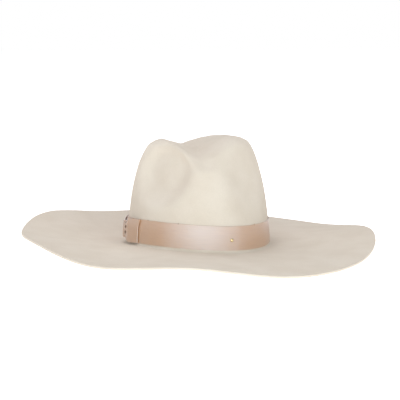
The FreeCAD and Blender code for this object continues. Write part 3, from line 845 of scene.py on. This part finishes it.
def twistedStitches(name, middles, alongs, ups, stitch, material, replaced):
    # two plies wound round each other, with both ends pulled down into the cloth
    steps, sides, length, radius = thread["steps"], thread["sides"], stitch["length"], stitch["radius"]
    t = np.linspace(-0.5, 0.5, steps)
    turn = np.linspace(0, fullTurn, sides, endpoint=False)
    taper = np.sqrt(np.clip(1 - (2 * np.abs(t)) ** 6, 0.02, 1))
    sunk = -stitch["dive"] * np.abs(2 * t) ** 5
    vertices, faces, maps = [], [], []
    for middle, along, up in zip(middles, alongs, ups):
        aside = np.cross(along, up)
        ring = np.cos(turn)[None, :, None] * up + np.sin(turn)[None, :, None] * aside
        for ply in (0, math.pi):
            wind = fullTurn * t * length / (radius * thread["twist"]) + ply
            offset = thread["plyOffset"] * radius
            centre = (middle + np.outer(t * length, along)
                      + np.outer(sunk + offset * np.cos(wind), up) + np.outer(offset * np.sin(wind), aside))
            tube = centre[:, None] + ring * (thread["plyRadius"] * radius * taper)[:, None, None]
            first = len(vertices) * steps * sides
            vertices.append(tube.reshape(-1, 3))
            for j in range(steps - 1):
                here, there = j * length / steps, (j + 1) * length / steps
                for i in range(sides):
                    k = (i + 1) % sides
                    faces.append((first + j * sides + i, first + j * sides + k,
                                  first + (j + 1) * sides + k, first + (j + 1) * sides + i))
                    low, high = i * 0.1, (i + 1) * 0.1
                    maps += [(here, low), (here, high), (there, high), (there, low)]
            faces.append([first + i for i in reversed(range(sides))])
            faces.append([first + i for i in range((steps - 1) * sides, steps * sides)])
            maps += [(0, 0)] * (2 * sides)
    return finishPiece(name, np.concatenate(vertices), faces, maps, material, replaced)


tacks = {"angles": [-140, -112, -45, -10, 30, 62, 100, 135], "length": 2.6, "radius": 0.22, "out": 0.42,
         "dive": 0.5}
tackAngles = np.radians(tacks["angles"])
tackMiddles = ribbonPoint(tackAngles, band["foot"] + band["width"], band["thickness"] + tacks["out"])
twistedStitches("sewn_ribbon_tacks", tackMiddles, np.tile([0.0, 0.0, 1.0], (len(tackAngles), 1)),
                outward(tackAngles), tacks, tanThread, ["ribbon_tacks"])


leatherBand = {
    "outside": 3.75,
    "thickness": 0.9,
    "foot": 0.6,
    "top": 36.0,
    "grooves": [(0.1, 0.5), (0.915, 0.5)],             # share of the height, half width in mm
    "grooveDepth": 0.22,
    "edgeStarts": 0.975,                               # from here up the edge is turned thin
    "edgeTurned": 0.3,
    "jointDepth": 0.45,                                # butt joint at the back
    "jointHalfWidth": 0.35,
    "columns": 720,
}
leatherHeight = leatherBand["top"] - leatherBand["foot"]
ringAngles = np.linspace(0, fullTurn, leatherBand["columns"], endpoint=False)


def sweatbandFaces():
    nearGrooves = [np.linspace(g - 0.02, g + 0.02, 9) for g, _ in leatherBand["grooves"]]
    share = np.unique(np.concatenate([np.linspace(0, 1, 15), *nearGrooves, [0.975, 0.99]]))[:, None]
    angle = ringAngles[None] + 0 * share
    height = leatherBand["foot"] + leatherHeight * share
    # the free top edge waves up and down and leans in and out
    height = height + 0.35 * np.sin(3 * angle + 0.7) * share ** 3 + 0.2 * np.sin(11 * angle) * share ** 4
    slack = 0.25 * (1 + np.sin(7 * angle + 2)) * share ** 2
    groove = sum(np.exp(-((share - g) * leatherHeight / w) ** 2) for g, w in leatherBand["grooves"])
    edge = smoothStep((share - leatherBand["edgeStarts"]) / (1 - leatherBand["edgeStarts"]))
    rolled = leatherBand["edgeTurned"] * edge
    behind = (angle - math.pi / 2) * felt["halfWidth"]
    joint = leatherBand["jointDepth"] * np.exp(-(behind / leatherBand["jointHalfWidth"]) ** 2)
    inner = innerPoint(angle, height, leatherBand["outside"] + leatherBand["thickness"] + slack
                       - leatherBand["grooveDepth"] * groove - rolled - joint)
    outer = innerPoint(angle, height, leatherBand["outside"] + slack + rolled)
    return outer, inner, height.mean(1)


leatherOuter, leatherInner, leatherAcross = sweatbandFaces()
leatherAlong = ringMap(leatherInner)
sweatband = makeStrip("sweatband_leather", leatherOuter, leatherInner, leatherAcross, leatherAlong,
                      sheepskin, "sweatband_leather", ["sweatband"])


tape = {
    "width": 15.0,
    "inwards": 4.2,
    "height": -0.25,
    "radius": 1.15,
    "thickness": 0.3,
    "outerTop": 7.0,
    "innerTop": 4.0,
    "ripple": 0.06,
    "ripples": 90,
}


def tapeFaces():
    # down the outer leg, round under the reed and up the inner leg
    turn = np.linspace(0, math.pi, 15)
    legOut = np.linspace(tape["outerTop"], tape["height"], 9)[:-1]
    legIn = np.linspace(tape["height"], tape["innerTop"], 7)[1:]
    faces = []
    for radius in (tape["radius"], tape["radius"] - tape["thickness"]):
        height = np.concatenate([legOut, tape["height"] - radius * np.sin(turn), legIn])[:, None]
        aside = np.concatenate([-radius + 0 * legOut, -radius * np.cos(turn), radius + 0 * legIn])[:, None]
        angle = ringAngles[None] + 0 * height
        ripple = tape["ripple"] * np.sin(tape["ripples"] * angle) * np.clip(np.abs(height) / 4, 0, 1)
        faces.append(innerPoint(angle, height + 0 * angle, tape["inwards"] + aside + ripple))
    return faces


tapeOuter, tapeInner = tapeFaces()
tapeAcross = np.linspace(0, tape["width"], len(tapeOuter))
tapeAlong = ringMap(tapeOuter)
reedTape = makeStrip("cotton_reed_tape", tapeOuter, tapeInner, tapeAcross, tapeAlong, tapeCotton,
                     "cotton_tape", ["reed_tape"])


seam = {"count": 120, "height": 2.5, "length": 3.0, "radius": 0.22, "dive": 0.45, "clearance": 0.12}
seamInwards = tape["inwards"] + tape["radius"] + seam["radius"] + seam["clearance"]
seamAngles = fullTurn * np.arange(seam["count"]) / seam["count"]
seamBefore, seamMiddles, seamAfter = (
    innerPoint(seamAngles + step, seam["height"], seamInwards) for step in (-0.01, 0, 0.01))
seamWays = seamAfter - seamBefore
seamWays /= np.linalg.norm(seamWays, axis=-1, keepdims=True)
twistedStitches("sweatband_seam", seamMiddles, seamWays, -outward(seamAngles), seam, creamThread,
                ["sweatband_stitching"])
print("sweatband sewn in")


patchSteps = 25
trimGap = 0.25
trimInwards = leatherBand["outside"] + leatherBand["thickness"] + trimGap


def backPoint(along, height, out):
    angle = math.pi / 2 - np.arcsin(along / felt["halfWidth"])
    return innerPoint(angle, height, trimInwards + np.asarray(out))


def flatPatch(place, sizes, bulge):
    share = np.linspace(0, 1, patchSteps)[:, None]
    along = np.linspace(-0.5, 0.5, patchSteps)[None] * sizes["width"]
    height = sizes["foot"] + (sizes["top"] - sizes["foot"]) * share + 0 * along
    lift = bulge(along / sizes["width"], share)
    outer, inner = (place(along + 0 * share, height, out + lift) for out in (sizes["thickness"], 0))
    return {"outer": outer, "inner": inner, "wrapCols": False, "ladders": True,
            "across": share.ravel() * (sizes["top"] - sizes["foot"]),
            "along": np.linspace(0, sizes["width"], patchSteps + 1)}


cover = {"width": 11.0, "foot": 5.0, "top": 36.0, "thickness": 0.4, "ribDepth": 0.03, "ribs": 38}
jointCover = makeStrip(
    "ribbon_joint_cover", material=narrowGrosgrain, slot="narrow_ribbon", replaced=["sweatband_joint_cover"],
    **flatPatch(backPoint, cover, lambda x, z: cover["ribDepth"] * np.cos(fullTurn * z * cover["ribs"])))


rearBow = {
    "height": 22.0,
    "halfLength": 9.0,
    "held": 1.0,
    "width": 6.0,
    "pinchWidth": 3.4,
    "pinchSwell": 0.8,
    "foldSwell": 0.8,
    "slant": 0,
    "loops": [(0.4, 1.0, 0.0), (0.4, 1.0, 0.0)],
    "thickness": 0.3,
    "pleats": (1.5, 0.15),
    "levels": 17,
    "steps": 50,
}
rearOuter, rearInner, rearAcross, rearAlong = foldedLoops(
    backPoint, rearBow["height"], rearBow, cover["thickness"] + bow["plyGap"], rearBow["thickness"])
makeStrip("small_rear_bow", rearOuter, rearInner, rearAcross, rearAlong, narrowGrosgrain,
          "narrow_ribbon", ["sweatband_bow"])


tab = {"angle": 20.0, "width": 18.0, "foot": 12.0, "top": 24.0, "thickness": 0.35, "curl": 0.25, "bow": 0.12}


def tabPoint(along, height, out):
    angle = math.radians(tab["angle"]) + along / felt["halfLength"]
    return innerPoint(angle, height, trimInwards + np.asarray(out))


def tabBulge(x, z):
    # the four corners curl and the middle bows out
    return tab["curl"] * (2 * x) ** 2 * (2 * z - 1) ** 2 + tab["bow"] * np.cos(math.pi * x) + 0 * z


sizeTab = makeStrip("blank_size_tab", material=labelCotton, slot="woven_label", replaced=["size_tab"],
                    **flatPatch(tabPoint, tab, tabBulge))


lining = {
    "outside": 3.3,
    "thickness": 0.35,
    "foot": 22.0,
    "tipShare": 0.57,            # share of the head oval at which wall and top meet
    "seamGap": 0.008,
    "puckers": 46,
    "puckerDepth": 0.9,
    "wallFades": 0.09,
    "topFades": 0.05,
    "pipingRadius": 0.8,
    "pipingGirth": 5.0,
    "pipingRoom": 0.4,
    "pipingSides": 14,
    "wallFlat": (0.1, 0.58),     # metres
    "topFlat": (0.1, 0.12),
    "topArea": 0.0094,
}
plainSkin, plainNormals = outerSkin[:len(crownProfile)], deepNormals[:len(crownProfile)]
profileShares, profileHeights = crownProfile.T


def puckers(keep, towards):
    # small gathers that fan out from the piped seam
    share = np.abs(profileShares[keep] - lining["tipShare"])[:, None]
    fade = np.exp(-share / towards) + 0.12
    angle = hatAngles[None]
    wobble = 0.5 * np.sin(5 * angle + 9 * share) + 0.3 * np.sin(13 * angle - 6 * share)
    gathers = 0.5 + 0.5 * np.cos(lining["puckers"] * angle + 3 * wobble)
    return lining["puckerDepth"] * fade * gathers ** 1.5


def liningFaces(keep, towards):
    gathered = plainNormals[keep] * puckers(keep, towards)[..., None]
    return [plainSkin[keep] - plainNormals[keep] * depth - gathered
            for depth in (lining["outside"], lining["outside"] + lining["thickness"])]


aboveFoot = profileHeights > lining["foot"]
sideOuter, sideInner = liningFaces(
    (profileShares >= lining["tipShare"] + lining["seamGap"]) & aboveFoot, lining["wallFades"])
sideAcross = np.arange(len(sideOuter)) * felt["rowSpacing"]
liningSide = makeStrip("satin_lining_wall", sideOuter, sideInner, sideAcross, ringMap(sideOuter),
                       liningSatin, "satin_lining", ["lining_side"])

tipOuter, tipInner = liningFaces(profileShares <= lining["tipShare"] - lining["seamGap"], lining["topFades"])
liningTip = makePiece("satin_lining_top", strip(tipOuter, tipInner), liningSatin, "satin_lining",
                      ["lining_tip"], fans=True, mapCols=ringMap(tipOuter),
                      mapRows=np.arange(2 * len(tipOuter) + 1) * felt["rowSpacing"])


def pipingRing():
    depth = lining["outside"] + lining["thickness"] + lining["pipingRadius"] + bow["plyGap"]
    row = int(np.argmin(np.abs(profileShares - lining["tipShare"])))
    middle = plainSkin[row] - plainNormals[row] * (depth + lining["pipingRoom"])
    turn = np.linspace(0, fullTurn, lining["pipingSides"], endpoint=False)[:, None, None]
    snug = 1 + 0.1 * np.cos(2 * lining["puckers"] * hatAngles)[None, :, None]
    return middle + lining["pipingRadius"] * snug * (
        plainNormals[row] * np.sin(turn) + outward(hatAngles) * np.cos(turn))


pipingPoints = pipingRing()
makePiece("satin_piping_cord", pipingPoints, pipingSatin, "satin_piping", ["lining_piping"], wrapRows=True,
          mapRows=np.linspace(0, lining["pipingGirth"], lining["pipingSides"] + 1),
          mapCols=ringMap(pipingPoints))
print("lining hung")


# the hard pieces keep their machined shape and get a finish
for node, finish in (("band_stud", brass), ("stud_washer", brass), ("sweatband_reed", pvc)):
    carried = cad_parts[node]
    if len(carried.material_slots) == 0:
        carried.data.materials.append(finish)
    for slot in carried.material_slots:
        slot.material = finish
print("stud and reed finished")


studio = {
    "floor": "#FFFFFF",
    "floorGlow": 0.66,
    "floorHalfWidth": 9,
    "floorBelow": 0.0004,
    "world": "#FFFFFF",
    "worldStrength": 0.35,
    "lampTarget": (0, 0, 0.05),
    # place, width, height, watts, colour
    "softboxes": {
        "frontSoftbox": ((0.05, -1.9, 0.5), 4.1, 1.0, 33.0, (0.86, 0.97, 0.99)),
        "topSoftbox": ((-0.3, 0.6, 1.8), 2.0, 2.0, 24, (0.94, 0.94, 0.99))},
    "distance": 1.7,
    "elevation": 9.3,
    "turn": 5.0,
    "lens": 125.5059,            # mm on a sensor 36 mm wide
    "sensor": 36,
    "aim": (1.950506, 49.006461),    # mm that the camera's aim is to the right of and above the middle
}
floorMaterial = bareMaterial("paintedFloor")
setShader(floorMaterial, {
    "Base Color": linear(studio["floor"]), "Roughness": 0.9, "Specular IOR Level": 0.1,
    "Emission Color": linear(studio["floor"]), "Emission Strength": studio["floorGlow"]})
floorMesh = bpy.data.meshes.new("floor")
level, wide = cadBox[0][2] - studio["floorBelow"], studio["floorHalfWidth"]
floorMesh.from_pydata([(-wide, -wide, level), (wide, -wide, level), (wide, wide, level),
                       (-wide, wide, level)], [], [(0, 1, 2, 3)])
floorMesh.materials.append(floorMaterial)
floor = bpy.data.objects.new("floor", floorMesh)
bpy.context.scene.collection.objects.link(floor)


def lookAt(thing, target):
    thing.rotation_mode = "QUATERNION"
    thing.rotation_quaternion = (Vector(target) - thing.location).to_track_quat("-Z", "Y")


for name, (place, width, height, power, tint) in studio["softboxes"].items():
    lamp = bpy.data.lights.new(name, "AREA")
    lamp.shape = "RECTANGLE"
    lamp.size, lamp.size_y, lamp.energy, lamp.color = width, height, power, tint
    holder = bpy.data.objects.new(name, lamp)
    bpy.context.scene.collection.objects.link(holder)
    holder.location = place
    lookAt(holder, studio["lampTarget"])

world = bpy.data.worlds.new("paleStudio")
bpy.context.scene.world = world
world.use_nodes = True
glow = world.node_tree.nodes["Background"]
glow.inputs["Color"].default_value = linear(studio["world"])
rays = addNode(world, "LightPath")
seen = addNode(world, "MapRange", {"Value": rays.outputs["Is Camera Ray"],
                                   "To Min": studio["worldStrength"], "To Max": 1.0})
world.node_tree.links.new(seen.outputs["Result"], glow.inputs["Strength"])
bpy.context.scene.view_settings.view_transform = "Standard"

camera = bpy.data.objects.new("camera", bpy.data.cameras.new("camera"))
bpy.context.scene.collection.objects.link(camera)
turn, lift = math.radians(studio["turn"]), math.radians(studio["elevation"])
back = Vector((-math.sin(turn) * math.cos(lift), -math.cos(turn) * math.cos(lift), math.sin(lift)))
camera.location = back * studio["distance"]
facing = (-back).to_track_quat("-Z", "Y")
aimRight, aimUp = studio["aim"]
lookAt(camera, facing @ Vector((aimRight / 1000, aimUp / 1000, 0)))
camera.data.sensor_width = studio["sensor"]
camera.data.lens = studio["lens"]
bpy.context.scene.camera = camera
print("studio lit")
